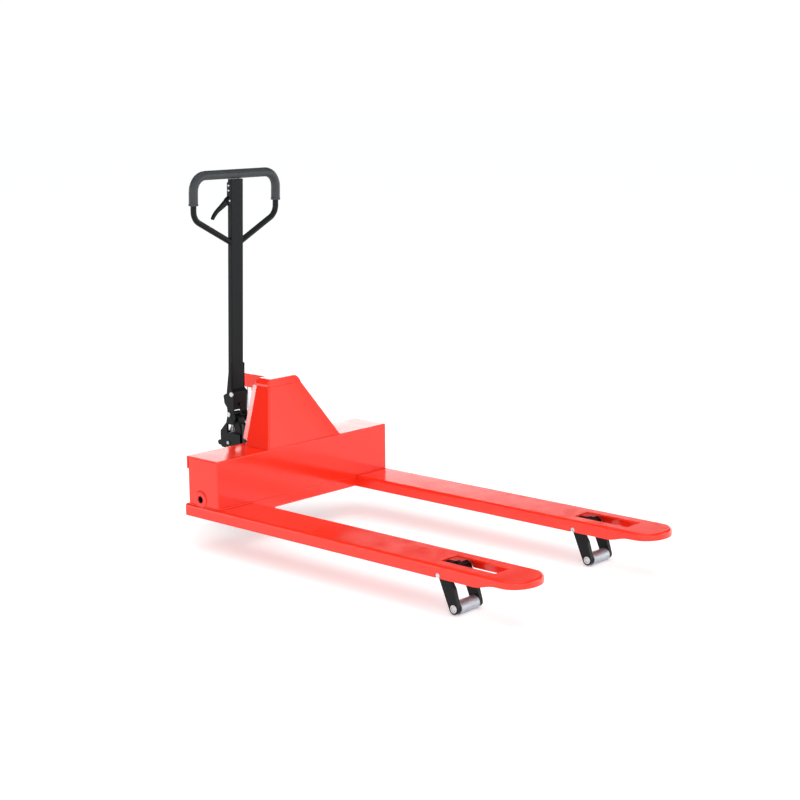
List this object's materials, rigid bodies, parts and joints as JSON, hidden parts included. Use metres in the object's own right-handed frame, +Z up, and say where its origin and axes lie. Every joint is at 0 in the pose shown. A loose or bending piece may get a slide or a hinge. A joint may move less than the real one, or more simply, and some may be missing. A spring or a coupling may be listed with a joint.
{
  "type": "hand pallet jack",
  "caption": "Low, extra-wide hand pallet jack shown pumped up: red forks and bridge with a sloping tower, black pump unit, steering wheels, load rollers and tall loop handle.",
  "frame": {"origin": "on the floor, at the centre of the bounding box's bottom", "axes": "+Z up, +X across the forks, the forks point to -Y and the handle stands at +Y"},
  "size_m": [0.788, 1.634, 1.1909],
  "materials": {
    "red_paint": "gloss powder coat",
    "black_paint": "semi-gloss",
    "bright_steel": "zinc-plated",
    "chrome": "polished",
    "roller_steel": "satin, turned",
    "grip_rubber": "soft sheen",
    "tyre": "matte",
    "wheel_hub": "painted dark grey"
  },
  "bodies": {
    "chassis": {"bridge_shell": "red_paint", "side_plate_left": "red_paint", "side_plate_right": "red_paint", "shaft_boss_left": "red_paint", "shaft_boss_right": "red_paint", "bridge_rib_left": "red_paint", "bridge_rib_right": "red_paint", "fork_left": "red_paint", "fork_right": "red_paint", "front_cross_member": "red_paint", "fork_brace_left": "red_paint", "fork_brace_right": "red_paint", "tower_shell": "red_paint", "tower_flange_left": "red_paint", "tower_flange_right": "red_paint", "tower_cap": "red_paint", "crosshead": "red_paint", "ram_rod": "chrome", "roller_pivot_pin_left": "bright_steel", "roller_pivot_pin_right": "bright_steel"},
    "lift_carrier": {"lift_yoke": "black_paint"},
    "hydraulic_unit": {"pump_body": "black_paint", "hydraulic_cylinder": "black_paint", "gland_nut": "bright_steel", "pump_housing": "black_paint", "plunger_spring": "bright_steel", "steer_axle": "bright_steel", "axle_retainer_left": "bright_steel", "axle_retainer_right": "bright_steel"},
    "steer_wheel_left": {"steer_hub_left": "wheel_hub", "steer_tyre_left": "tyre"},
    "steer_wheel_right": {"steer_hub_right": "wheel_hub", "steer_tyre_right": "tyre"},
    "plunger": {"pump_plunger": "bright_steel"},
    "valve": {"valve_lever": "bright_steel"},
    "handle": {"handle_bracket": "black_paint", "handle_pivot_pin": "black_paint", "handle_mast": "black_paint", "handle_loop": "black_paint", "grip_left": "grip_rubber", "grip_right": "grip_rubber", "mast_bolt": "bright_steel", "web_bolt": "bright_steel", "press_roller_pin": "bright_steel", "lever_housing": "black_paint", "lever_pin": "bright_steel"},
    "pressure_roller": {"press_roller": "bright_steel"},
    "finger_lever": {"release_lever": "black_paint"},
    "pull_rod": {"release_rod": "bright_steel"},
    "rocker": {"rocker_shaft": "black_paint"},
    "push_bar_left": {"push_rod_left": "black_paint"},
    "push_bar_right": {"push_rod_right": "black_paint"},
    "roller_carrier_left": {"roller_frame_left": "black_paint", "roller_axle_left": "bright_steel"},
    "roller_carrier_right": {"roller_frame_right": "black_paint", "roller_axle_right": "bright_steel"},
    "roller_left": {"load_roller_left": "roller_steel"},
    "roller_right": {"load_roller_right": "roller_steel"}
  },
  "joints": [
    {"name": "lift", "type": "slide", "parent": "chassis", "child": "lift_carrier", "axis": [0, 0, 1], "range_m": [0, 0.09]},
    {"name": "steer", "type": "hinge", "parent": "lift_carrier", "child": "hydraulic_unit", "pos_m": [0, 0.649, 0.1], "axis": [0, 0, 1], "range_deg": [-90, 90]},
    {"name": "steer_wheel_left_spin", "type": "hinge", "parent": "hydraulic_unit", "child": "steer_wheel_left", "pos_m": [-0.05, 0.675, 0.08], "axis": [1, 0, 0], "continuous": true},
    {"name": "steer_wheel_right_spin", "type": "hinge", "parent": "hydraulic_unit", "child": "steer_wheel_right", "pos_m": [0.05, 0.675, 0.08], "axis": [1, 0, 0], "continuous": true},
    {"name": "handle_tilt", "type": "hinge", "parent": "hydraulic_unit", "child": "handle", "pos_m": [0, 0.719, 0.338], "axis": [-1, 0, 0], "range_deg": [0, 70]},
    {"name": "pump_stroke", "type": "slide", "parent": "hydraulic_unit", "child": "plunger", "axis": [0, 0, -1], "range_m": [0, 0.025], "deforming": ["plunger_spring"]},
    {"name": "pressure_roller_spin", "type": "hinge", "parent": "handle", "child": "pressure_roller", "pos_m": [0, 0.7313, 0.35756], "axis": [1, 0, 0], "continuous": true},
    {"name": "release_lever_squeeze", "type": "hinge", "parent": "handle", "child": "finger_lever", "pos_m": [-0.036, 0.70543, 1.088], "axis": [0, 0.9994, 0.0359], "range_deg": [0, 28], "stiffness_Nm_per_rad": 1},
    {"name": "release_rod_travel", "type": "slide", "parent": "handle", "child": "pull_rod", "axis": [0, 0.0359, -0.9994], "range_m": [0, 0.011]},
    {"name": "lowering_valve_turn", "type": "hinge", "parent": "hydraulic_unit", "child": "valve", "pos_m": [0.0305, 0.769, 0.258], "axis": [1, 0, 0], "range_deg": [0, 20.1]},
    {"name": "rocker_turn", "type": "hinge", "parent": "chassis", "child": "rocker", "pos_m": [0, 0.4756, 0.1682], "axis": [1, 0, 0], "range_deg": [0, 25]},
    {"name": "push_bar_left_travel", "type": "slide", "parent": "chassis", "child": "push_bar_left", "axis": [0, 1, 0], "range_m": [0, 0.0211]},
    {"name": "roller_carrier_left_swing", "type": "hinge", "parent": "chassis", "child": "roller_carrier_left", "pos_m": [-0.318, -0.5225, 0.1145], "axis": [-1, 0, 0], "range_deg": [0, 63.6]},
    {"name": "roller_left_spin", "type": "hinge", "parent": "roller_carrier_left", "child": "roller_left", "pos_m": [-0.318, -0.5645, 0.02], "axis": [1, 0, 0], "continuous": true},
    {"name": "push_bar_right_travel", "type": "slide", "parent": "chassis", "child": "push_bar_right", "axis": [0, 1, 0], "range_m": [0, 0.0211]},
    {"name": "roller_carrier_right_swing", "type": "hinge", "parent": "chassis", "child": "roller_carrier_right", "pos_m": [0.318, -0.5225, 0.1145], "axis": [-1, 0, 0], "range_deg": [0, 63.6]},
    {"name": "roller_right_spin", "type": "hinge", "parent": "roller_carrier_right", "child": "roller_right", "pos_m": [0.318, -0.5645, 0.02], "axis": [1, 0, 0], "continuous": true}
  ],
  "couplings": [
    {"joint": "rocker_turn", "follows": "lift", "rad_per_m": 4.827},
    {"joint": "pump_stroke", "follows": "handle_tilt", "m_per_rad": 0.0204},
    {"joint": "release_rod_travel", "follows": "release_lever_squeeze", "m_per_rad": 0.0215},
    {"joint": "lowering_valve_turn", "follows": "release_lever_squeeze", "ratio": 0.7143},
    {"joint": "push_bar_left_travel", "follows": "lift", "ratio": 0.2333},
    {"joint": "roller_carrier_left_swing", "follows": "lift", "rad_per_m": 12.32},
    {"joint": "push_bar_right_travel", "follows": "lift", "ratio": 0.2333},
    {"joint": "roller_carrier_right_swing", "follows": "lift", "rad_per_m": 12.32}
  ]
}
